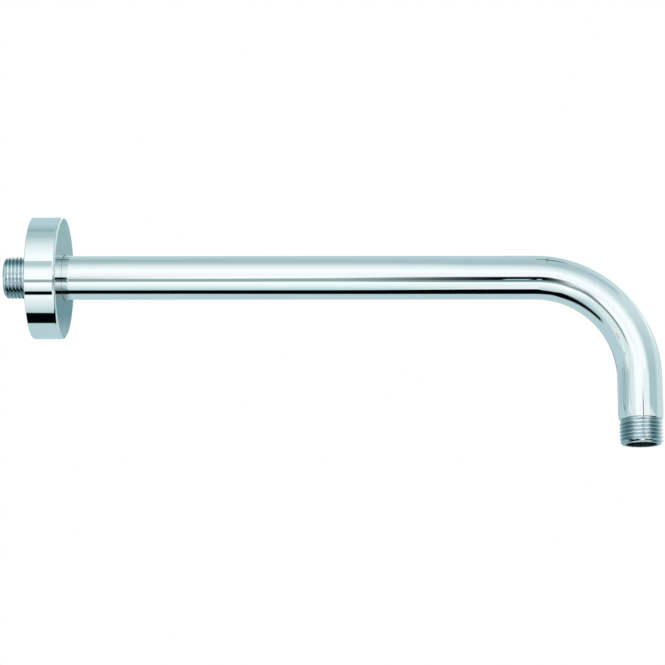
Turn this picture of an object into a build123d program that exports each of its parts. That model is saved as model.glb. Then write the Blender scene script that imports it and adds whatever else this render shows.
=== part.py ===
from build123d import *
import os
from math import sqrt

# Wall shower arm: a bent tube with a threaded nipple brazed into each end, and a round
# flange that slides along the tube to cover the hole in the wall.
#
# All sizes are in millimetres. The origin is the centre of the flange's wall side, on the
# inlet's axis. The arm leaves the wall along +X, bends through a quarter turn and ends in
# an outlet that points down, along -Z.

# Tube
TUBE_DIAMETER = 22.0
TUBE_WALL = 1.2
PROJECTION = 300.0  # wall face to the outlet's axis
BEND_RADIUS = 50.5  # on the centreline
OUTLET_STRAIGHT = 21.2  # tube between the bend and the outlet's thread
END_DRAW_IN = 0.35  # how far polishing draws each tube end in, on the radius
END_DRAW_IN_LENGTH = 8.0

# G 1/2 pipe thread, as a blank of its major diameter
THREAD_DIAMETER = 20.955
THREAD_DEPTH = 1.162

# Nipples
INLET_REACH = 14.2  # how far the inlet's end stands behind the wall face
INLET_SETBACK = 0.8  # from the wall face to the tube's end, inside the flange
OUTLET_THREAD_LENGTH = 12.3
NIPPLE_WALL = 2.0  # at its thinnest, under the thread or at the spigot
SPIGOT_LENGTH = 9.0
BRAZING_GAP = 0.05
BORE_CHAMFER = 0.5

# Wall flange
FLANGE_DIAMETER = 61.2
FLANGE_DEPTH = 15.1
FLANGE_RIM = 1.8
FLANGE_FACE = 2.2
FLANGE_EDGE_RADIUS = 1.3
FLANGE_CORNER_CHAMFER = 0.8  # inside the cup, where its face meets the rim and the hub
FLANGE_BACK_CHAMFER = 0.3
FLANGE_CLEARANCE = 0.1  # radial, between the hub's bore and the tube
HUB_LIP = 2.6  # along the bore, on each side of the ring's groove
HUB_WALL = 1.5  # around the groove
HUB_CHAMFER = 0.3

# Square-cut rubber ring in the flange's hub
RING_HEIGHT = 1.9  # radial, as squeezed
RING_WIDTH = 2.7
RING_CHAMFER = 0.5
RING_SIDE_GAP = 0.25
RING_CLEARANCE = 0.05  # radial, from the tube and from the groove

TUBE_RADIUS = TUBE_DIAMETER / 2
TUBE_BORE_RADIUS = TUBE_RADIUS - TUBE_WALL
THREAD_RADIUS = THREAD_DIAMETER / 2
THREAD_ROOT_RADIUS = THREAD_RADIUS - THREAD_DEPTH
SPIGOT_RADIUS = TUBE_BORE_RADIUS - BRAZING_GAP
NIPPLE_BORE_RADIUS = min(SPIGOT_RADIUS, THREAD_ROOT_RADIUS) - NIPPLE_WALL
GROOVE_RADIUS = TUBE_RADIUS + RING_HEIGHT + 2 * RING_CLEARANCE
GROOVE_WIDTH = RING_WIDTH + 2 * RING_SIDE_GAP

BEND_START = PROJECTION - BEND_RADIUS
OUTLET_SHOULDER = -BEND_RADIUS - OUTLET_STRAIGHT
HUB_BACK = FLANGE_DEPTH - GROOVE_WIDTH - 2 * HUB_LIP
RING_MIDDLE = (FLANGE_DEPTH + HUB_BACK) / 2

# Sections of the turned forms. X runs along the axis, from a tube end into the tube at a
# shoulder and away from the wall at the wall face, and Y is the distance from the axis.
INLET_SHOULDER_SECTION = Plane(origin=(INLET_SETBACK, 0, 0), x_dir=(1, 0, 0), z_dir=(0, 0, 1))
OUTLET_SHOULDER_SECTION = Plane(
    origin=(PROJECTION, 0, OUTLET_SHOULDER), x_dir=(0, 0, 1), z_dir=(0, -1, 0)
)
WALL_FACE_SECTION = Plane(origin=(0, 0, 0), x_dir=(1, 0, 0), z_dir=(0, 0, 1))


def turned(section, profile):
    """A solid turned about the section's X axis from a profile drawn on that section."""
    return revolve(section * profile, axis=Axis(section.origin, section.x_dir))


def straight_tube(section, length):
    """A straight stretch of tube, its free end at the section's origin drawn in by an arc."""
    arc_radius = (END_DRAW_IN_LENGTH**2 + END_DRAW_IN**2) / (2 * END_DRAW_IN)
    half_way = END_DRAW_IN_LENGTH / 2
    half_way_draw_in = arc_radius - sqrt(arc_radius**2 - half_way**2)
    end_corner = (0, TUBE_RADIUS - END_DRAW_IN)
    arc_middle = (half_way, TUBE_RADIUS - half_way_draw_in)
    arc_end = (END_DRAW_IN_LENGTH, TUBE_RADIUS)
    outline = [
        Line((0, TUBE_BORE_RADIUS), end_corner),
        ThreePointArc(end_corner, arc_middle, arc_end),
        Line(arc_end, (length, TUBE_RADIUS)),
        Line((length, TUBE_RADIUS), (length, TUBE_BORE_RADIUS)),
        Line((length, TUBE_BORE_RADIUS), (0, TUBE_BORE_RADIUS)),
    ]
    return turned(section, make_face(outline))


def make_arm_tube():
    """Two straight stretches and the quarter bend between them, open right through."""
    inlet_run = straight_tube(INLET_SHOULDER_SECTION, BEND_START - INLET_SETBACK)
    outlet_run = straight_tube(OUTLET_SHOULDER_SECTION, OUTLET_STRAIGHT)
    bend_section = Plane(origin=(BEND_START, 0, 0), x_dir=(0, 1, 0), z_dir=(1, 0, 0))
    ring = bend_section * (Circle(TUBE_RADIUS) - Circle(TUBE_BORE_RADIUS))
    bend_axis = Axis((BEND_START, 0, -BEND_RADIUS), (0, 1, 0))
    bend = revolve(ring, axis=bend_axis, revolution_arc=90)
    return inlet_run + bend + outlet_run


def make_nipple(shoulder_section, thread_length):
    """A turned nipple: chamfered thread blank, shoulder for the tube's end, and spigot."""
    outer_end = -thread_length
    points = [
        (outer_end, NIPPLE_BORE_RADIUS + BORE_CHAMFER),
        (outer_end, THREAD_ROOT_RADIUS),
        (outer_end + THREAD_DEPTH, THREAD_RADIUS),
        (0, THREAD_RADIUS),
        (0, SPIGOT_RADIUS),
        (SPIGOT_LENGTH, SPIGOT_RADIUS),
        (SPIGOT_LENGTH, NIPPLE_BORE_RADIUS + BORE_CHAMFER),
        (SPIGOT_LENGTH - BORE_CHAMFER, NIPPLE_BORE_RADIUS),
        (outer_end + BORE_CHAMFER, NIPPLE_BORE_RADIUS),
    ]
    return turned(shoulder_section, make_face(Polyline(*points, close=True)))


def nearest_vertex(profile, point):
    return profile.vertices().sort_by_distance(point)[0]


def make_wall_flange():
    """A cup open to the wall, with a bored hub inside that carries the ring's groove."""
    outer = FLANGE_DIAMETER / 2
    inner = outer - FLANGE_RIM
    face_back = FLANGE_DEPTH - FLANGE_FACE
    bore = TUBE_RADIUS + FLANGE_CLEARANCE
    hub = GROOVE_RADIUS + HUB_WALL
    points = [
        (0, inner),
        (0, outer - FLANGE_BACK_CHAMFER),
        (FLANGE_BACK_CHAMFER, outer),
        (FLANGE_DEPTH, outer),
        (FLANGE_DEPTH, bore + HUB_CHAMFER),
        (FLANGE_DEPTH - HUB_CHAMFER, bore),
        (HUB_BACK + HUB_CHAMFER, bore),
        (HUB_BACK, bore + HUB_CHAMFER),
        (HUB_BACK, hub),
        (face_back, hub),
        (face_back, inner),
    ]
    profile = make_face(Polyline(*points, close=True))
    profile = fillet(nearest_vertex(profile, (FLANGE_DEPTH, outer)), FLANGE_EDGE_RADIUS)
    for corner in ((face_back, inner), (face_back, hub)):
        profile = chamfer(nearest_vertex(profile, corner), FLANGE_CORNER_CHAMFER)
    groove_depth = GROOVE_RADIUS - TUBE_RADIUS
    groove_centre = Pos(RING_MIDDLE, TUBE_RADIUS + groove_depth / 2)
    profile -= groove_centre * Rectangle(GROOVE_WIDTH, groove_depth)
    return turned(WALL_FACE_SECTION, profile)


def make_seal_ring():
    """The rubber ring between its groove and the tube, with chamfered corners."""
    centre = Pos(RING_MIDDLE, TUBE_RADIUS + RING_CLEARANCE + RING_HEIGHT / 2)
    profile = Rectangle(RING_WIDTH, RING_HEIGHT)
    profile = chamfer(profile.vertices(), RING_CHAMFER)
    return turned(WALL_FACE_SECTION, centre * profile)


PARTS = {
    "arm_tube": make_arm_tube(),
    "inlet_nipple": make_nipple(INLET_SHOULDER_SECTION, INLET_REACH + INLET_SETBACK),
    "outlet_nipple": make_nipple(OUTLET_SHOULDER_SECTION, OUTLET_THREAD_LENGTH),
    "wall_flange": make_wall_flange(),
    "seal_ring": make_seal_ring(),
}

os.makedirs("parts", exist_ok=True)
for node, shape in PARTS.items():
    export_step(shape, f"parts/{node}.step")
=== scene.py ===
from math import ceil, cos, pi, radians, sin, sqrt, tan

import bmesh
import bpy
from mathutils import Matrix, Vector


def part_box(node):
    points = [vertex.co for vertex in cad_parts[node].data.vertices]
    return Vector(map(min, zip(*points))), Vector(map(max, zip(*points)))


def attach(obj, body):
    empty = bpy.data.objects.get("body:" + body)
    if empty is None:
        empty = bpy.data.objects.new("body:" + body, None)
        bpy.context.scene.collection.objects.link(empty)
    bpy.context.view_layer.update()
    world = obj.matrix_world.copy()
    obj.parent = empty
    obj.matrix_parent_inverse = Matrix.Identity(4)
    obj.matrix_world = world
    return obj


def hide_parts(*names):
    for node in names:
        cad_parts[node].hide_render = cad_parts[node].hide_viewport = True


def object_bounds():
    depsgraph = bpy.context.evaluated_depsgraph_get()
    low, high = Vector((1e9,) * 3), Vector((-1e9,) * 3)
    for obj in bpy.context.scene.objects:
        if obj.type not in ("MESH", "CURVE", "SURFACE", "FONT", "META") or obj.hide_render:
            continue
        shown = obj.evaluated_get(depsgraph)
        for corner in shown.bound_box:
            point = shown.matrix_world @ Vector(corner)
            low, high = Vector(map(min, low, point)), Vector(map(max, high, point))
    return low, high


# Wall shower arm in polished chrome: a bent tube with a threaded nipple in each end and a
# round flange that slides along it. Lengths are in metres. The arm leaves the wall along
# +X and its outlet points down, along -Z.

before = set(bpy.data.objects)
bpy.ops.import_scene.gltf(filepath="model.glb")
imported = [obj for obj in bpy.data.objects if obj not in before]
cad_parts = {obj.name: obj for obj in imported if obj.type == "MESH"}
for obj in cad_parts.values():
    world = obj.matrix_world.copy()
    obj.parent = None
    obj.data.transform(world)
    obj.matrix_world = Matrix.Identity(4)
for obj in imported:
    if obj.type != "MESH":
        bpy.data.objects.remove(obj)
cad_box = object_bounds()

MM = 0.001
X = Vector((1, 0, 0))
Y = Vector((0, 1, 0))
Z = Vector((0, 0, 1))

tube_low, tube_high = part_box("arm_tube")
flange_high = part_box("wall_flange")[1]
inlet_low, inlet_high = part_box("inlet_nipple")
outlet_low, outlet_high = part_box("outlet_nipple")

# Tube
TUBE_RADIUS = tube_high.z
TUBE_BORE = TUBE_RADIUS - 1.2 * MM
TUBE_START = tube_low.x
TUBE_END = tube_low.z
OUTLET_X = tube_high.x - TUBE_RADIUS
BEND_RADIUS = 50.5 * MM
BEND_START = OUTLET_X - BEND_RADIUS
DRAW_IN = 0.35 * MM  # how far polishing draws each tube end in, on the radius
DRAW_IN_LENGTH = 8 * MM
RIM_ROUNDING = 0.15 * MM

# G 1/2 pipe thread
THREAD_RADIUS = inlet_high.z
THREAD_PITCH = 25.4 * MM / 14
THREAD_DEPTH = 0.640327 * THREAD_PITCH
THREAD_ROUNDING = 0.137329 * THREAD_PITCH
THREAD_ROOT = THREAD_RADIUS - THREAD_DEPTH
THREAD_FLANK = 27.5  # degrees, on each side
NECK_RADIUS = THREAD_RADIUS - 0.75 * MM
NECK_LENGTH = 0.7 * MM  # plain neck between the tube's end and the thread's run-out
RUN_OUT_SLOPE = 0.25
INLET_PHASE = 0.67  # how far round each thread starts, in turns
OUTLET_PHASE = 0.43

# Nipples
SPIGOT_RADIUS = TUBE_BORE - 0.05 * MM
NIPPLE_BORE = THREAD_ROOT - 2.0 * MM
BORE_CHAMFER = 0.5 * MM

# Wall flange
FLANGE_RADIUS = flange_high.z
FLANGE_DEPTH = flange_high.x
FLANGE_RIM = 1.8 * MM
FLANGE_FACE = 2.2 * MM
FLANGE_EDGE_RADIUS = 1.3 * MM
FLANGE_CORNER = 0.8 * MM  # rounding inside the cup
FLANGE_BACK_CHAMFER = 0.3 * MM
HUB_BORE = TUBE_RADIUS + 0.1 * MM
HUB_RADIUS = TUBE_RADIUS + 3.5 * MM
HUB_BACK = 6.7 * MM
HUB_CHAMFER = 0.3 * MM
GROOVE_RADIUS = TUBE_RADIUS + 2.0 * MM
GROOVE_WIDTH = 3.2 * MM

# Fineness of the meshes
TUBE_STEPS = 128
BEND_STEPS = 64
FLANGE_STEPS = 192
THREAD_STEPS = 96
DRAW_IN_STEPS = 12
ROOT_STEPS = 4
FLANK_STEPS = 5
EDGE_STEPS = 14
CORNER_STEPS = 8
SUPPORT = 0.05 * MM  # loops this close to an edge keep the shading true beside it
MERGE = 0.001 * MM
SHARP = 32  # degrees


# Meshes

def arc(centre, radius, start, end, steps):
    """Points (along, out) of an arc about a centre, from one angle to another, in degrees."""
    angles = [radians(start + (end - start) * i / steps) for i in range(steps + 1)]
    return [(centre[0] + radius * cos(a), centre[1] + radius * sin(a)) for a in angles]


def supported(profile):
    """The profile with extra points close to both ends of each long straight run."""
    points = []
    for start, end in zip(profile, profile[1:]):
        start, end = Vector(start), Vector(end)
        points.append(start)
        run = end - start
        if run.length > 4 * SUPPORT:
            step = run.normalized() * SUPPORT
            points += [start + step, end - step]
    points.append(Vector(profile[-1]))
    return points


class Axis:
    """A line that forms are turned about. along runs down it and out starts each profile."""

    def __init__(self, origin, along, out):
        self.origin = origin
        self.along = along
        self.out = out

    def point(self, along, out):
        return self.origin + self.along * along + self.out * out

    def place(self, co):
        """A point's distance along the axis and its distance from the axis, as a vector."""
        along = (co - self.origin).dot(self.along)
        return along, co - self.origin - self.along * along


def chain(bm, axis, profile):
    """Vertices and edges of a profile, drawn on one side of the axis."""
    verts = [bm.verts.new(axis.point(*point)) for point in profile]
    edges = [bm.edges.new(pair) for pair in zip(verts, verts[1:])]
    return verts + edges


def new_faces(bm, known, material):
    for face in bm.faces:
        if face not in known:
            face.material_index = material


def turned(bm, axis, profile, steps, material):
    """A full turn of a profile about the axis."""
    known = set(bm.faces)
    geom = chain(bm, axis, supported(profile))
    bmesh.ops.spin(
        bm,
        geom=geom,
        cent=axis.origin,
        axis=axis.along,
        angle=2 * pi,
        steps=steps,
        use_merge=True,
    )
    new_faces(bm, known, material)


def piece(bm, name, body, node, materials):
    """A finished mesh object that stands for a node and moves with its body."""
    bmesh.ops.remove_doubles(bm, verts=bm.verts, dist=MERGE)
    bmesh.ops.recalc_face_normals(bm, faces=bm.faces)
    mesh = bpy.data.meshes.new(name)
    bm.to_mesh(mesh)
    bm.free()
    mesh.shade_smooth()
    mesh.set_sharp_from_angle(angle=radians(SHARP))
    for material in materials:
        mesh.materials.append(material)
    obj = bpy.data.objects.new(name, mesh)
    bpy.context.scene.collection.objects.link(obj)
    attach(obj, body)
    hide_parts(node)
    return obj


INLET_AXIS = Axis(Vector((TUBE_START, 0, 0)), X, Z)
OUTLET_AXIS = Axis(Vector((OUTLET_X, 0, TUBE_END)), Z, X)
WALL_AXIS = Axis(Vector((0, 0, 0)), X, Z)
POLISHED, INSIDE, BARE_SHADED = 0, 1, 2


def tube_run(bm, axis, length):
    """A straight stretch of tube from its drawn-in end to the bend, outside and inside."""
    arc_radius = (DRAW_IN_LENGTH**2 + DRAW_IN**2) / (2 * DRAW_IN)
    outside = [(0, TUBE_BORE), (0, TUBE_RADIUS - DRAW_IN - RIM_ROUNDING)]
    for i in range(DRAW_IN_STEPS + 1):
        along = RIM_ROUNDING + (DRAW_IN_LENGTH - RIM_ROUNDING) * i / DRAW_IN_STEPS
        rest = DRAW_IN_LENGTH - along
        outside.append((along, TUBE_RADIUS - arc_radius + sqrt(arc_radius**2 - rest**2)))
    outside.append((length, TUBE_RADIUS))
    turned(bm, axis, outside, TUBE_STEPS, POLISHED)
    turned(bm, axis, [(0, TUBE_BORE), (length, TUBE_BORE)], TUBE_STEPS, INSIDE)


def tube_bend(bm):
    """The quarter bend, turned from the open edges where the inlet's run ends."""
    middle_radius = (TUBE_RADIUS + TUBE_BORE) / 2
    loops = {POLISHED: [], INSIDE: []}
    for edge in bm.edges:
        ends = [vert.co for vert in edge.verts]
        if edge.is_boundary and all(abs(co.x - BEND_START) < MERGE for co in ends):
            outer = ends[0].yz.length > middle_radius
            loops[POLISHED if outer else INSIDE].append(edge)
    centre = Vector((BEND_START, 0, -BEND_RADIUS))
    for material, edges in loops.items():
        known = set(bm.faces)
        verts = {vert for edge in edges for vert in edge.verts}
        bmesh.ops.spin(
            bm, geom=[*verts, *edges], cent=centre, axis=Y, angle=pi / 2, steps=BEND_STEPS
        )
        new_faces(bm, known, material)


def make_tube(materials):
    bm = bmesh.new()
    tube_run(bm, INLET_AXIS, BEND_START - TUBE_START)
    tube_bend(bm)
    tube_run(bm, OUTLET_AXIS, -BEND_RADIUS - TUBE_END)
    return piece(bm, "bent_tube", "arm", "arm_tube", materials)


def thread_profile():
    """One pitch of the thread from root to root: 55 degrees, rounded root, crest turned flat."""
    root_centre = (0, THREAD_ROOT + THREAD_ROUNDING)
    root = arc(root_centre, THREAD_ROUNDING, -90, -THREAD_FLANK, ROOT_STEPS)
    flat_start = THREAD_PITCH / 4 + THREAD_DEPTH / 2 * tan(radians(THREAD_FLANK))
    low, high = Vector(root[-1]), Vector((flat_start, THREAD_RADIUS))
    flank = [low.lerp(high, i / FLANK_STEPS) for i in range(1, FLANK_STEPS)]
    rise = [*root, *flank, high, (THREAD_PITCH / 2, THREAD_RADIUS)]
    fall = [(THREAD_PITCH - point[0], point[1]) for point in reversed(rise[:-1])]
    return rise + fall


def thread(bm, axis, length, phase):
    """A right-hand thread outside the tube's end, with its neck and its lead-in chamfer."""
    first = -length - (2 - phase) * THREAD_PITCH
    profile = [(first + point[0], point[1]) for point in thread_profile()]
    bmesh.ops.spin(
        bm,
        geom=chain(bm, axis, profile),
        cent=axis.origin,
        axis=axis.along,
        dvec=axis.along * (THREAD_PITCH / THREAD_STEPS),
        angle=2 * pi,
        steps=THREAD_STEPS,
    )
    one_turn = [*bm.verts, *bm.edges, *bm.faces]
    for turn in range(1, ceil(length / THREAD_PITCH) + 3):
        copy = bmesh.ops.duplicate(bm, geom=one_turn)["geom"]
        verts = [item for item in copy if isinstance(item, bmesh.types.BMVert)]
        bmesh.ops.translate(bm, verts=verts, vec=axis.along * (THREAD_PITCH * turn))
    bmesh.ops.remove_doubles(bm, verts=bm.verts, dist=MERGE)
    for vert in bm.verts:
        along, out = axis.place(vert.co)
        lead_in = THREAD_ROOT + max(0, along + length)
        beyond_neck = max(0, -NECK_LENGTH - along)
        run_out = max(out.length, NECK_RADIUS - RUN_OUT_SLOPE * beyond_neck)
        radius = min(run_out, NECK_RADIUS + beyond_neck, lead_in)
        vert.co = axis.origin + axis.along * along + out.normalized() * radius
    for place, side in ((-length, -1), (0, 1)):
        bmesh.ops.bisect_plane(
            bm,
            geom=[*bm.verts, *bm.edges, *bm.faces],
            dist=MERGE / 10,
            plane_co=axis.point(place, 0),
            plane_no=axis.along * side,
            clear_outer=True,
        )


def open_loop(bm, axis, place):
    """The open edges of the mesh at a place along the axis."""
    found = []
    for edge in bm.edges:
        if edge.is_boundary and all(
            abs(axis.place(vert.co)[0] - place) < MERGE for vert in edge.verts
        ):
            found.append(edge)
    return found


def carried(bm, axis, loop, along, radius, material):
    """Carries an open loop on to a new place and radius, with faces between."""
    known = set(bm.faces)
    result = bmesh.ops.extrude_edge_only(bm, edges=loop)["geom"]
    for vert in (item for item in result if isinstance(item, bmesh.types.BMVert)):
        out = axis.place(vert.co)[1]
        vert.co = axis.origin + axis.along * along + out.normalized() * radius
    new_faces(bm, known, material)
    return [item for item in result if isinstance(item, bmesh.types.BMEdge)]


def make_nipple(name, axis, length, spigot, phase, node, materials):
    """A threaded nipple: the thread, then its end face, its bore and the hidden spigot."""
    bm = bmesh.new()
    thread(bm, axis, length, phase)
    shoulder = open_loop(bm, axis, 0)
    loop = open_loop(bm, axis, -length)
    route = (
        (-length, NIPPLE_BORE + BORE_CHAMFER, POLISHED),
        (BORE_CHAMFER - length, NIPPLE_BORE, INSIDE),
        (spigot - BORE_CHAMFER, NIPPLE_BORE, INSIDE),
        (spigot, NIPPLE_BORE + BORE_CHAMFER, INSIDE),
        (spigot, SPIGOT_RADIUS, INSIDE),
        (0, SPIGOT_RADIUS, INSIDE),
    )
    for along, radius, material in route:
        loop = carried(bm, axis, loop, along, radius, material)
    bmesh.ops.bridge_loops(bm, edges=loop + shoulder)
    return piece(bm, name, "arm", node, materials)


def make_flange(materials):
    """The hollow cover, turned from one closed profile, with its bored and grooved hub."""
    face_back = FLANGE_DEPTH - FLANGE_FACE
    inner = FLANGE_RADIUS - FLANGE_RIM
    groove_middle = (FLANGE_DEPTH + HUB_BACK) / 2
    groove_front = groove_middle + GROOVE_WIDTH / 2
    groove_back = groove_middle - GROOVE_WIDTH / 2
    edge = FLANGE_EDGE_RADIUS
    corner = FLANGE_CORNER
    outside = [
        (0, inner),
        (0, FLANGE_RADIUS - FLANGE_BACK_CHAMFER),
        (FLANGE_BACK_CHAMFER, FLANGE_RADIUS),
        *arc((FLANGE_DEPTH - edge, FLANGE_RADIUS - edge), edge, 90, 0, EDGE_STEPS),
        (FLANGE_DEPTH, HUB_BORE + HUB_CHAMFER),
    ]
    hub = [
        (FLANGE_DEPTH, HUB_BORE + HUB_CHAMFER),
        (FLANGE_DEPTH - HUB_CHAMFER, HUB_BORE),
        (groove_front, HUB_BORE),
        (groove_front, GROOVE_RADIUS),
        (groove_back, GROOVE_RADIUS),
        (groove_back, HUB_BORE),
        (HUB_BACK + HUB_CHAMFER, HUB_BORE),
        (HUB_BACK, HUB_BORE + HUB_CHAMFER),
    ]
    hollow = [
        (HUB_BACK, HUB_BORE + HUB_CHAMFER),
        (HUB_BACK, HUB_RADIUS),
        *arc((face_back - corner, HUB_RADIUS + corner), corner, -90, 0, CORNER_STEPS),
        *arc((face_back - corner, inner - corner), corner, 0, 90, CORNER_STEPS),
        (0, inner),
    ]
    bm = bmesh.new()
    # The hub gets the near-black bore metal, so its front chamfer shows as a dark seam: painted
    # shade.
    for profile, material in ((outside, POLISHED), (hub, BARE_SHADED), (hollow, INSIDE)):
        turned(bm, WALL_AXIS, profile, FLANGE_STEPS, material)
    return piece(bm, "round_flange", "flange", "wall_flange", materials)


# Shaders

class Signal:
    """An output socket. Arithmetic on it adds Math nodes to its tree."""

    def __init__(self, graph, socket):
        self.graph = graph
        self.socket = socket

    def math(self, operation, *others):
        return self.graph.node("ShaderNodeMath", {"operation": operation}, self, *others)

    def __add__(self, other):
        return self.math("ADD", other)

    def __sub__(self, other):
        return self.math("SUBTRACT", other)

    def __mul__(self, other):
        return self.math("MULTIPLY", other)

    def __truediv__(self, other):
        return self.math("DIVIDE", other)

    def __neg__(self):
        return self * -1

    def __abs__(self):
        return self.math("ABSOLUTE")

    def __rsub__(self, other):
        return self.graph.node("ShaderNodeMath", {"operation": "SUBTRACT"}, other, self)

    def __rtruediv__(self, other):
        return self.graph.node("ShaderNodeMath", {"operation": "DIVIDE"}, other, self)

    __radd__ = __add__
    __rmul__ = __mul__


class Graph:
    """The node tree of a material or of the world."""

    def __init__(self, owner):
        owner.use_nodes = True
        self.tree = owner.node_tree
        self.tree.nodes.clear()

    def node(self, kind, settings=(), *values, output=0, **named):
        """Adds a node, sets it, then fills its sockets by place or by name."""
        node = self.tree.nodes.new(kind)
        for key, value in dict(settings).items():
            if key == "stops":
                fill_ramp(node.color_ramp, value)
            else:
                setattr(node, key, value)
        pairs = [*zip(node.inputs, values)]
        pairs += [(node.inputs[key.replace("_", " ")], value) for key, value in named.items()]
        for socket, value in pairs:
            if isinstance(value, Signal):
                self.tree.links.new(value.socket, socket)
            elif value is not None:
                socket.default_value = value
        return Signal(self, node.outputs[output]) if node.outputs else None

    def mix(self, factor, first, second):
        """One colour laid over another, by a factor from 0 to 1."""
        node = self.tree.nodes.new("ShaderNodeMix")
        node.data_type = "RGBA"
        for name, value in (("Factor_Float", factor), ("A_Color", first), ("B_Color", second)):
            socket = next(item for item in node.inputs if item.identifier == name)
            if isinstance(value, Signal):
                self.tree.links.new(value.socket, socket)
            else:
                socket.default_value = value
        socket = next(item for item in node.outputs if item.identifier == "Result_Color")
        return Signal(self, socket)

    def rise(self, value, low, high):
        """Goes smoothly from 0 at low to 1 at high."""
        settings = {"interpolation_type": "SMOOTHSTEP"}
        return self.node("ShaderNodeMapRange", settings, value, low, high)

    def noise(self, place, scale, detail=2.0, roughness=0.5):
        return self.node(
            "ShaderNodeTexNoise",
            (),
            Vector=place,
            Scale=scale,
            Detail=detail,
            Roughness=roughness,
        )

    def parts(self, vector):
        return [self.node("ShaderNodeSeparateXYZ", (), vector, output=i) for i in range(3)]


def fill_ramp(ramp, stops):
    while len(ramp.elements) > 1:
        ramp.elements.remove(ramp.elements[-1])
    ramp.elements[0].position, ramp.elements[0].color = stops[0]
    for position, colour in stops[1:]:
        ramp.elements.new(position).color = colour


def tone(red, green, blue):
    """A colour as it looks on screen, 0 to 255, in linear light."""
    def linear(level):
        level = level / 255
        return level / 12.92 if level <= 0.04045 else ((level + 0.055) / 1.055) ** 2.4

    return (linear(red), linear(green), linear(blue), 1.0)


def metal(name, base, roughness, height=None, bump_depth=0.0):
    """A Principled metal. roughness and height are built by functions of graph and place."""
    material = bpy.data.materials.new(name)
    graph = Graph(material)
    place = graph.node("ShaderNodeTexCoord", (), output="Object")
    normal = None
    if height is not None:
        normal = graph.node(
            "ShaderNodeBump", (), Strength=1.0, Distance=bump_depth, Height=height(graph, place)
        )
    colour = base(graph, place) if callable(base) else base
    surface = graph.node(
        "ShaderNodeBsdfPrincipled",
        (),
        Base_Color=colour,
        Metallic=1.0,
        Roughness=roughness(graph, place),
        Normal=normal,
    )
    graph.node("ShaderNodeOutputMaterial", (), surface)
    return material


# Finishes
CHROME = (0.86, 0.885, 0.89, 1.0)
UNPOLISHED = (0.6, 0.62, 0.62, 1.0)
# Near black: painted shade inside the bores and in the seam at the flange hub's front chamfer.
# The stains are random.
BRASS_SHADE = (0.07, 0.085, 0.09, 1.0)
STAINED_BRASS_SHADE = (0.03, 0.038, 0.042, 1.0)
# Painted light on the threads: roots darker and crests lighter than plain chrome, as painted
# shade and painted highlight.
ROOT_SHADE = (0.60, 0.70, 0.73, 1.0)
CREST_HIGHLIGHT = (0.96, 0.99, 0.99, 1.0)
# Painted shade on two sides of each thread, standing in for dark reflections there.
SIDE_SHADE_ROOT = (0.31, 0.42, 0.46, 1.0)
SIDE_SHADE_CREST = (0.50, 0.60, 0.63, 1.0)
RUBBER = (0.018, 0.018, 0.02, 1.0)
BLOOMED_RUBBER = (0.04, 0.04, 0.042, 1.0)

# Where painted shade darkens two sides of a thread, in place of dark reflections, in
# millimetres across its axis: below -low, and from high to far.
INLET_SIDE_SHADE = (4.2, 3.6, 14)
OUTLET_SIDE_SHADE = (3.8, 1.4, 9.5)
SIDE_SHADE_FADE = 3 * MM  # from no painted shade to full painted shade
ROUNDED = 0.1 * MM  # how deep the crests and the roots count as such


def polished_chrome():
    """Mirror chrome with faint wiping marks and the slight waviness of a polished tube."""
    def roughness(graph, place):
        wiped = graph.rise(graph.noise(place, 70, 3), 0.45, 0.75)
        return 0.01 + wiped * 0.015 + graph.noise(place, 1500, 2) * 0.01

    def waviness(graph, place):
        return graph.noise(place, 45, 1)

    return metal("polished chrome", CHROME, roughness, waviness, bump_depth=0.004 * MM)


def inside_chrome():
    """The flange's hollow, plated but not polished."""
    def roughness(graph, place):
        return 0.28 + graph.noise(place, 300, 3) * 0.2

    def grain(graph, place):
        return graph.noise(place, 2500, 2)

    return metal("unpolished chrome", UNPOLISHED, roughness, grain, bump_depth=0.01 * MM)


def shaded_bare_brass():
    """Bare metal in bores, rough from the brazing, painted near black as painted shade."""
    def roughness(graph, place):
        return 0.38 + graph.noise(place, 400, 3) * 0.2

    def colour(graph, place):
        stain = graph.rise(graph.noise(place, 220, 3), 0.35, 0.7)
        return graph.mix(stain, BRASS_SHADE, STAINED_BRASS_SHADE)

    def grain(graph, place):
        return graph.noise(place, 1800, 2)

    return metal("bare brass", colour, roughness, grain, bump_depth=0.01 * MM)


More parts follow.
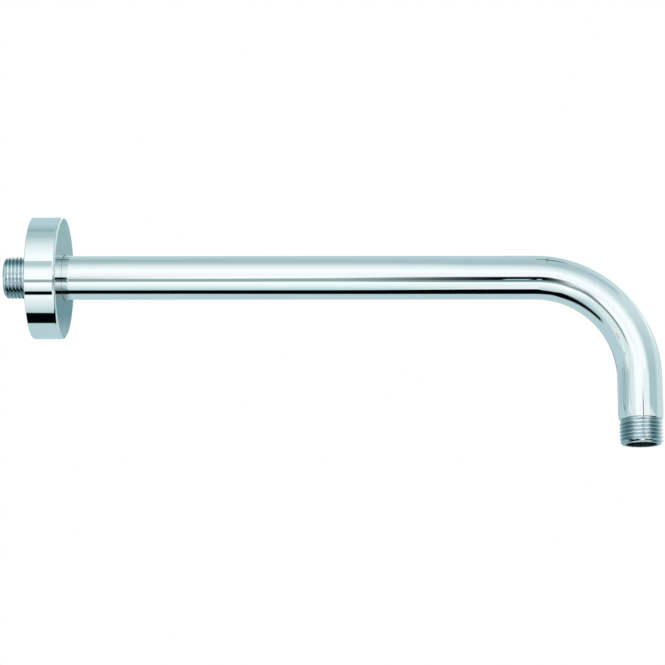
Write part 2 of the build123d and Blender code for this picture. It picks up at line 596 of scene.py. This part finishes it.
def thread_chrome(name, axis, side_shade):
    """Chrome on a thread, rougher in the roots. Its colour holds painted light: painted shade
    darkens the roots and a painted highlight lightens the crests.

    Painted shade also darkens two sides, as the inlet's and the outlet's limits give, in place
    of dark reflections there.
    """
    low, high, far = (limit * MM for limit in side_shade)
    centred = {"vector_type": "POINT"}

    def out(graph, place):
        """The two coordinates across the thread's axis, of which one is y."""
        moved = graph.node("ShaderNodeMapping", centred, place, tuple(-axis.origin))
        parts = graph.parts(moved)
        return [part for part, way in zip(parts, axis.along) if abs(way) < 0.5]

    def depth(graph, place):
        """0 in the roots of the thread and 1 on its crests."""
        first, second = out(graph, place)
        radius = (first * first + second * second).math("SQRT")
        return graph.rise(radius, THREAD_ROOT + ROUNDED, THREAD_RADIUS - ROUNDED)

    def colour(graph, place):
        crest = depth(graph, place) + (graph.noise(place, 900, 3) - 0.5) * 0.2
        first, second = out(graph, place)
        across = (second if axis.along.x else first) + (graph.noise(place, 250, 2) - 0.5) * MM
        # Masks of the two sides that are painted with shade.
        above = graph.rise(across, high, high + SIDE_SHADE_FADE)
        above = above * graph.rise(across, far, far - SIDE_SHADE_FADE)
        below = graph.rise(across, -low, -low - SIDE_SHADE_FADE)
        # Roots painted darker and crests lighter: painted shade and painted highlight.
        plated = graph.mix(crest, ROOT_SHADE, CREST_HIGHLIGHT)
        return graph.mix(below + above, plated, graph.mix(crest, SIDE_SHADE_ROOT, SIDE_SHADE_CREST))

    def roughness(graph, place):
        return 0.16 - depth(graph, place) * 0.08 + graph.noise(place, 1600, 2) * 0.04

    def turning(graph, place):
        return graph.noise(place, 3000, 2)

    return metal(name, colour, roughness, turning, bump_depth=0.001 * MM)


def black_rubber():
    """Matte black rubber with a fine moulded grain."""
    material = bpy.data.materials.new("black rubber")
    graph = Graph(material)
    place = graph.node("ShaderNodeTexCoord", (), output="Object")
    bloom = graph.rise(graph.noise(place, 500, 4), 0.4, 0.8)
    colour = graph.mix(bloom, RUBBER, BLOOMED_RUBBER)
    grain = graph.noise(place, 4000, 3)
    normal = graph.node("ShaderNodeBump", (), Strength=0.6, Distance=0.02 * MM, Height=grain)
    surface = graph.node(
        "ShaderNodeBsdfPrincipled",
        (),
        Base_Color=colour,
        Roughness=0.62 + bloom * 0.2,
        Normal=normal,
    )
    graph.node("ShaderNodeOutputMaterial", (), surface)
    return material


# Studio

REFLECTED_GAIN = 1.13  # makes up for what chrome swallows
AMBIENT = 0.75

# Tones of the studio's walls, panels and cards
WHITE = tone(255, 255, 255)
BRIGHT = tone(249, 253, 255)
HAZE = tone(240, 243, 246)
SOFT = tone(232, 242, 243)
PALE = tone(218, 231, 232)
MIST = tone(200, 218, 220)
SILVER = tone(183, 203, 204)
WALL = tone(180, 205, 209)
DIM = tone(168, 194, 198)
OPENING = tone(148, 170, 169)
SHADE = tone(144, 174, 178)
DUST = tone(124, 148, 153)
EDGE = tone(118, 137, 140)
DUSK = tone(108, 144, 153)
SLATE = tone(90, 112, 116)
SLOT = tone(20, 44, 48)
BLACK = tone(0, 5, 8)

# The light round the straight tube, by the angle about the X axis in degrees: 0 is level
# towards the camera, 90 is overhead and -90 is underfoot.
RING = (
    (-180, WALL),
    (-84, WALL),
    (-66, PALE),
    (-56, SOFT),
    (-46, BRIGHT),
    (25, BRIGHT),
    (41, SOFT),
    (51, PALE),
    (59, MIST),
    (70, DIM),
    (96, DIM),
    (108, WALL),
    (180, WALL),
)


class Room:
    """The studio all round the arm. Each card is laid over the light that is there.

    Directions are in degrees: turn goes round the X axis as in RING, side is how far the
    direction leans to the right, height how far it rises and compass where it points.
    """

    def __init__(self, graph, ray):
        x, y, z = graph.parts(ray)
        degree = 180 / pi
        self.graph = graph
        self.side = x.math("ARCSINE") * degree
        self.turn = z.math("ARCTAN2", -y) * degree
        self.height = z.math("ARCSINE") * degree
        self.compass = x.math("ARCTAN2", -y) * degree
        self.light = None

    def lay(self, factor, colour):
        self.light = self.graph.mix(factor, self.light, colour)


def lay_ring(room):
    """The light overhead, in front and underfoot. It sinks towards the right."""
    rise, turn = room.graph.rise, room.turn
    sunk = turn + rise(room.side, -1, 7) * rise(turn, 5, 25) * 13
    stops = [((angle + 180) / 360, colour) for angle, colour in RING]
    room.light = room.graph.node("ShaderNodeValToRGB", {"stops": stops}, (sunk + 180) / 360)


def lay_walls(room):
    """The side walls, a dark gap in the left one, and a veil of haze in front."""
    rise, mix = room.graph.rise, room.graph.mix
    side, turn, height, compass = room.side, room.turn, room.height, room.compass
    left = mix(rise(side, -60, -84), PALE, WALL)
    left = mix(rise(turn, -42, -72) + rise(turn, 145, 165), left, WALL)
    left = mix(rise(height, 3, 11) * rise(compass, -48, -76), left, DIM)
    room.lay(rise(side - rise(turn, -10, -40) * 9, -24, -42), left)
    lit = rise(height, 10, 42).math("MAXIMUM", rise(compass, 75, 100))
    right = mix(lit, DIM, MIST)
    room.lay(rise(side + rise(turn, 25, 60) * 8, 19, 46), right)
    room.lay(rise(compass, 4, 12) * rise(compass, 44, 34) * rise(height, 13, 11), SOFT)
    gap = rise(compass, -104, -101) * rise(compass, -90, -93) * rise(height, 5, 8)
    room.lay(gap * rise(height, 14.5, 13), SLATE)
    room.lay(rise(turn, 12, 5) * rise(turn, -9, -3) * rise(side, -20, -8) * 0.6, HAZE)


def lay_overhead(room):
    """The panels overhead and the seam between them."""
    rise, side, turn = room.graph.rise, room.side, room.turn
    panel = rise(turn, 62, 72) * rise(turn, 98, 92) * rise(side, 8, 16) * rise(side, 42, 38)
    room.lay(panel, DIM)
    seam = rise(turn, 78, 84) * rise(turn, 94, 89) * rise(side, 0, -12)
    room.lay(seam * 0.8, SHADE)


def lay_opening(room):
    """The opening that the camera looks through, and its edge round the left."""
    rise, side, turn = room.graph.rise, room.side, room.turn
    sill = rise(side, -10, -22) * 6 - rise(side, -1, 3) * 2 - 35.5
    lintel = rise(side, -7, 2) * 5 + rise(side, 1, 4) * 2 - 20.5
    band = rise(turn - lintel, 3.5, -3.5) * rise(turn - sill, -2, 2) * rise(side, -24, -12)
    room.lay(band, OPENING)
    across, up = (side + 20) / 16.5, turn / 23
    edge = abs((across * across + up * up).math("SQRT") - 1) * 18
    room.lay(rise(edge, 7, 1.5) * rise(turn, 3, -10) * rise(side, -4, -16), EDGE)


def lay_black_card(room):
    """The black card underfoot, which blurs and narrows towards the left."""
    rise, side, turn = room.graph.rise, room.side, room.turn
    soft = rise(side, -8, -30) * 6 + 1
    bend = rise(side, -9, -15)
    front = rise(side, -1, 4) * 5 + bend * 5 - rise(side, -16, -50) * 6 - 83.2
    back = rise(side, -20, -32) * 1.5 - rise(side, -9, 1) * 3 - bend * 3 - 108.6
    card = rise(turn - front, soft, -soft) * rise(turn - back, -soft, soft)
    room.lay(card * rise(side, -58, -52), BLACK)


def lay_flange_panels(room):
    """What the flange's face mirrors: the room that the tube shows there, and a dusky panel."""
    rise, mix = room.graph.rise, room.graph.mix
    side, turn, height = room.side, room.turn, room.height
    twin = mix(rise(turn, -20, -24), BLACK, SLATE)
    twin = mix(rise(turn, -9, -14) * rise(turn, -38, -34), room.light, twin)
    twin = mix(rise(turn, 68, 84) + rise(turn, -108, -112), twin, DUST)
    twin = mix(rise(turn, -42, -78) * rise(turn, -86, -84), twin, DUST)
    twin = mix(rise(turn, 80, 85), twin, SHADE)
    room.lay(rise(side, 9.0, 9.15) * rise(side, 9.75, 9.6), twin)
    panel = mix(rise(height, 15.1, 13.4) * rise(height, 12.4, 13.1), SHADE, DUSK)
    shown = rise(height, 16.3, 15.2) * rise(height, 12.1, 12.4) * rise(room.compass, 150, 160)
    room.lay(shown, panel)


def lay_slot(room):
    """The dark slot overhead at the seam's right end, darkest at its middle."""
    rise, side, turn = room.graph.rise, room.side, room.turn
    along = rise(side, 4.8, 5.4) * 0.55 + rise(side, 7, 9) * 0.45 - rise(side, 13, 19)
    room.lay(along * rise(turn, 90, 94) * rise(turn, 101, 97), SLOT)


def lay_far_sides(room):
    """What the camera's own view hardly shows: softboxes and dark cards to the far sides."""
    rise, mix, side, turn = room.graph.rise, room.graph.mix, room.side, room.turn
    left = rise(side, -13, -17)
    room.lay(left * rise(side, -64, -56) * rise(turn, 38, 46) * rise(turn, 68, 64), BRIGHT)
    dusky = mix(rise(side, -34, -40), DUSK, SHADE)
    room.lay(left * rise(turn, 71, 74) * rise(turn, 142, 132), dusky)
    right = rise(side, 22, 28) * rise(side, 60, 54)
    room.lay(right * rise(turn, -68, -50) * rise(turn, 2, -2), BRIGHT)
    room.lay(right * rise(turn, -16, -18) * rise(turn, -25, -23), OPENING)
    room.lay(right * rise(turn, -108, -106) * rise(turn, -86, -88), BLACK)
    room.lay(right * rise(side, 36, 42) * rise(turn, 118, 124) * rise(turn, 150, 138), SOFT)
    far_right = rise(side, 54, 58)
    room.lay(far_right * rise(turn, -32, -29) * rise(turn, -3, -6), BLACK)
    room.lay(far_right * rise(turn, -20, -28) * rise(turn, -128, -112), SLATE)
    room.lay(far_right * rise(turn, -46, -52) * rise(turn, -92, -82), BLACK)
    back = rise(side, -24, -16) * rise(side, 34, 26)
    room.lay(back * rise(turn, 141, 143) * rise(turn, 160, 158), BRIGHT)
    room.lay(back * rise(turn, 169, 171) * rise(turn, 178, 176) * rise(side, -28, -22), DUSK)


def studio_light(graph, ray):
    """The studio as chrome sees it, as a colour for each direction."""
    room = Room(graph, ray)
    lay_ring(room)
    lay_walls(room)
    lay_overhead(room)
    lay_opening(room)
    lay_black_card(room)
    lay_flange_panels(room)
    lay_slot(room)
    lay_far_sides(room)
    return room.light


def make_world():
    """White behind the object, the studio in its reflections, and soft light on the floor."""
    world = bpy.data.worlds.new("studio")
    bpy.context.scene.world = world
    graph = Graph(world)
    ray = graph.node("ShaderNodeTexCoord", (), output="Generated")
    mirrored = graph.node("ShaderNodeBackground", (), studio_light(graph, ray), REFLECTED_GAIN)
    ambient = graph.node("ShaderNodeBackground", (), WHITE, AMBIENT)
    backdrop = graph.node("ShaderNodeBackground", (), WHITE, 1.0)
    camera_ray, glossy_ray, transmission_ray = (
        graph.node("ShaderNodeLightPath", (), output=f"Is {kind} Ray")
        for kind in ("Camera", "Glossy", "Transmission")
    )
    lit = graph.node("ShaderNodeMixShader", (), glossy_ray, ambient, mirrored)
    seen = camera_ray.math("MAXIMUM", transmission_ray)
    whole = graph.node("ShaderNodeMixShader", (), seen, lit, backdrop)
    graph.node("ShaderNodeOutputWorld", (), whole)


def upright(distance, left, right, low, high):
    """The corners of a card that stands in front of the arm, in millimetres."""
    corners = ((left, low), (right, low), (right, high), (left, high))
    return [(x, -distance, z) for x, z in corners]


def level(height, left, right, front, back):
    """The corners of a card that lies level, in millimetres."""
    corners = ((left, front), (right, front), (right, back), (left, back))
    return [(x, y, height) for x, y in corners]


def card(name, corners, paint):
    """A card that only the chrome sees.

    paint gives its cover, from 0 to 1, and its colour, from a place in millimetres.
    """
    bm = bmesh.new()
    bm.faces.new([bm.verts.new(Vector(corner) * MM) for corner in corners])
    mesh = bpy.data.meshes.new(name)
    bm.to_mesh(mesh)
    bm.free()
    obj = bpy.data.objects.new(name, mesh)
    bpy.context.scene.collection.objects.link(obj)
    material = bpy.data.materials.new(name)
    graph = Graph(material)
    place = graph.node("ShaderNodeTexCoord", (), output="Object")
    cover, colour = paint(graph, *(part / MM for part in graph.parts(place)))
    light = graph.node("ShaderNodeEmission", (), colour, REFLECTED_GAIN)
    clear = graph.node("ShaderNodeBsdfTransparent", ())
    whole = graph.node("ShaderNodeMixShader", (), cover, clear, light)
    graph.node("ShaderNodeOutputMaterial", (), whole)
    mesh.materials.append(material)
    for kind in ("camera", "diffuse", "transmission", "volume_scatter", "shadow"):
        setattr(obj, f"visible_{kind}", False)


def paint_doorway(graph, x, y, z):
    """The dark room behind the opening, to the right of the camera."""
    rise, mix = graph.rise, graph.mix
    room = rise(x, 110, 300) * rise(z, -125, -215) * rise(z, -735, -690)
    post = rise(x, 345, 375) * rise(x, 440, 410) * rise(z, 125, 90) * rise(z, -260, -200)
    gleam = rise(x, 300, 306) * rise(x, 332, 326) * rise(z, -380, -395) * rise(z, -470, -445)
    colour = mix(rise(z, -560, -430), DUST, BLACK)
    colour = mix(post, colour, SLATE)
    colour = mix(gleam, colour, WALL)
    return room.math("MAXIMUM", post), colour


def paint_flag(graph, x, y, z):
    """The flag that the flange's rim mirrors: a grey patch, a narrow line and a black line."""
    rise, mix = graph.rise, graph.mix
    edges = rise(x + z * z / 2200, -3.9, -4.4) * rise(x, -50, -46)
    patch = rise(z, -8, 22)
    line = rise(z, -43.5, -49) * rise(z, -63, -58)
    veil = rise(z, -72, -116)
    bar = rise(z, -112, -116) * rise(z, -146, -140)
    colour = mix(patch, BRIGHT, SILVER)
    colour = mix(line, colour, OPENING)
    colour = mix(veil, colour, MIST)
    colour = mix(bar, colour, BLACK)
    return edges * rise(z, 38, 37) * rise(z, -150, -146), colour


def paint_tray(graph, x, y, z):
    """The tray that the outlet's lead-in mirrors: bright in the middle, dark to both sides."""
    rise, mix = graph.rise, graph.mix
    edges = rise(x, 284, 287) * rise(x, 316, 313) * rise(abs(y), 30, 27)
    lit = rise(x, 297, 300) * rise(x, 306, 303)
    return edges, mix(lit, BLACK, BRIGHT)


def make_cards():
    doorway = upright(distance=900, left=100, right=450, low=-750, high=150)
    flag = upright(distance=150, left=-50, right=-4, low=-150, high=40)
    tray = level(height=-105, left=284, right=316, front=-30, back=30)
    card("doorway", doorway, paint_doorway)
    card("flag", flag, paint_flag)
    card("tray", tray, paint_tray)


PAPER = (0.93, 0.93, 0.93, 1.0)
FLOOR_DROP = 0.4  # how far the floor is below the arm's axis
FLOOR_RADIUS = 1.5
FLOOR_FADE = (0.75, 1.44)  # from the floor's middle


def make_floor():
    """A plain pale floor far below the arm that fades into the white around it."""
    bm = bmesh.new()
    bmesh.ops.create_circle(bm, cap_ends=True, segments=96, radius=FLOOR_RADIUS)
    centre = (cad_box[0] + cad_box[1]) / 2
    bmesh.ops.translate(bm, verts=bm.verts, vec=(centre.x, centre.y, -FLOOR_DROP))
    mesh = bpy.data.meshes.new("floor")
    bm.to_mesh(mesh)
    bm.free()
    floor = bpy.data.objects.new("floor", mesh)
    bpy.context.scene.collection.objects.link(floor)
    material = bpy.data.materials.new("pale floor")
    graph = Graph(material)
    place = graph.node("ShaderNodeTexCoord", (), output="Object")
    x, y, _ = graph.parts(place)
    away = ((x - centre.x) * (x - centre.x) + y * y).math("SQRT")
    fade = graph.rise(away, *FLOOR_FADE)
    paper = graph.node("ShaderNodeBsdfDiffuse", (), PAPER)
    clear = graph.node("ShaderNodeBsdfTransparent", ())
    whole = graph.node("ShaderNodeMixShader", (), fade, paper, clear)
    graph.node("ShaderNodeOutputMaterial", (), whole)
    mesh.materials.append(material)
    floor.visible_glossy = False


LAMP_PLACE = Vector((-0.3, -1.0, 1.4))
LAMP_TARGET = Vector((0.15, 0, -0.1))
LAMP_SIZE = 1.2
LAMP_POWER = 22.0  # watts


def make_lamp():
    """One large soft lamp above and in front, which the chrome doesn't mirror."""
    data = bpy.data.lights.new("soft lamp", "AREA")
    data.shape = "DISK"
    data.size = LAMP_SIZE
    data.energy = LAMP_POWER
    lamp = bpy.data.objects.new("soft lamp", data)
    bpy.context.scene.collection.objects.link(lamp)
    lamp.location = LAMP_PLACE
    lamp.rotation_euler = (LAMP_TARGET - LAMP_PLACE).to_track_quat("-Z", "Y").to_euler()
    lamp.visible_glossy = False


CAMERA_PLACE = Vector((0.16793, -0.91721, -0.23447))
CAMERA_AIM = Vector((-0.0200, 0.9754, 0.21951))
CAMERA_ROLL = 0.24  # degrees
CAMERA_FOCUS = 1899.07 / 665  # focal length over picture width


def make_camera():
    data = bpy.data.cameras.new("camera")
    data.sensor_width = 36.0
    data.lens = CAMERA_FOCUS * data.sensor_width
    data.clip_start = 0.01
    camera = bpy.data.objects.new("camera", data)
    bpy.context.scene.collection.objects.link(camera)
    turn = CAMERA_AIM.to_track_quat("-Z", "Y").to_matrix().to_4x4()
    roll = Matrix.Rotation(radians(CAMERA_ROLL), 4, "Z")
    camera.matrix_world = Matrix.Translation(CAMERA_PLACE) @ turn @ roll
    bpy.context.scene.camera = camera


polished = polished_chrome()
unpolished = inside_chrome()
shaded_brass = shaded_bare_brass()
inlet_chrome = thread_chrome("inlet thread chrome", INLET_AXIS, INLET_SIDE_SHADE)
outlet_chrome = thread_chrome("outlet thread chrome", OUTLET_AXIS, OUTLET_SIDE_SHADE)

# The bores get the near-black bore metal: painted shade inside them.
make_tube([polished, shaded_brass])
make_nipple(
    "inlet_thread",
    INLET_AXIS,
    length=TUBE_START - inlet_low.x,
    spigot=inlet_high.x - TUBE_START,
    phase=INLET_PHASE,
    node="inlet_nipple",
    materials=[inlet_chrome, shaded_brass],
)
make_nipple(
    "outlet_thread",
    OUTLET_AXIS,
    length=TUBE_END - outlet_low.z,
    spigot=outlet_high.z - TUBE_END,
    phase=OUTLET_PHASE,
    node="outlet_nipple",
    materials=[outlet_chrome, shaded_brass],
)
make_flange([polished, unpolished, shaded_brass])

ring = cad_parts["seal_ring"]
ring.data.materials.clear()
ring.data.materials.append(black_rubber())

make_world()
make_cards()
make_floor()
make_lamp()
make_camera()

view = bpy.context.scene.view_settings
view.view_transform = "Standard"
